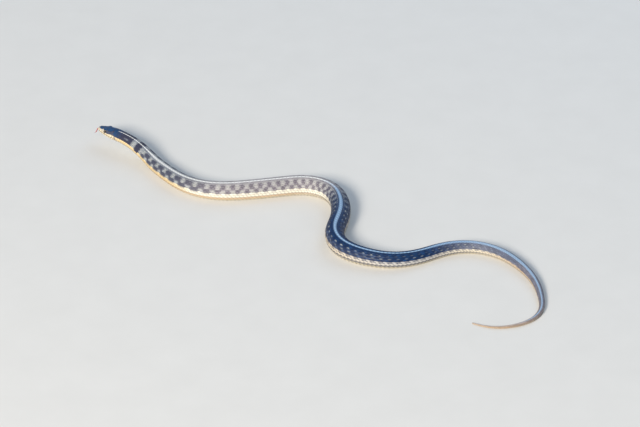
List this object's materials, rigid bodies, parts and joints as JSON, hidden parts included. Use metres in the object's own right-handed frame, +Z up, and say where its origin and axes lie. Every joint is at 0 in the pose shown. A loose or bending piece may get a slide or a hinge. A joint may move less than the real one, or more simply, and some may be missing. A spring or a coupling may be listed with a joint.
{
  "type": "eastern garter snake",
  "caption": "Life-size still model of a crawling eastern garter snake: long body in loose bends, head a little raised, forked tongue out.",
  "frame": {"origin": "middle of the snake's bounding box, on the floor that the belly rests on", "axes": "+X along the longest extent, from the head's side towards the tail's side; +Y from the tail's side towards the head's side; +Z up"},
  "size_m": [0.3735, 0.2937, 0.0176],
  "materials": {
    "head_skin": "smooth head plates, slate blue above, cream on the lips and chin, a little gloss",
    "body_skin": "keeled scales, slate to brown-grey with dark spots and pale flecks, three pale stripes, cream belly plates, satin",
    "eye": "clear wet gloss over a dark brown iris with a round pupil",
    "tongue": "moist red flesh, darker at the tips"
  },
  "bodies": {
    "root": {"head": "head_skin", "lower_jaw": "head_skin", "eye_left": "eye", "eye_right": "eye", "tongue": "tongue", "neck": "body_skin", "trunk_1": "body_skin", "trunk_2": "body_skin", "trunk_3": "body_skin", "trunk_4": "body_skin", "trunk_5": "body_skin", "trunk_6": "body_skin", "trunk_7": "body_skin", "tail_base": "body_skin", "tail_middle": "body_skin", "tail_tip": "body_skin"}
  },
  "joints": []
}
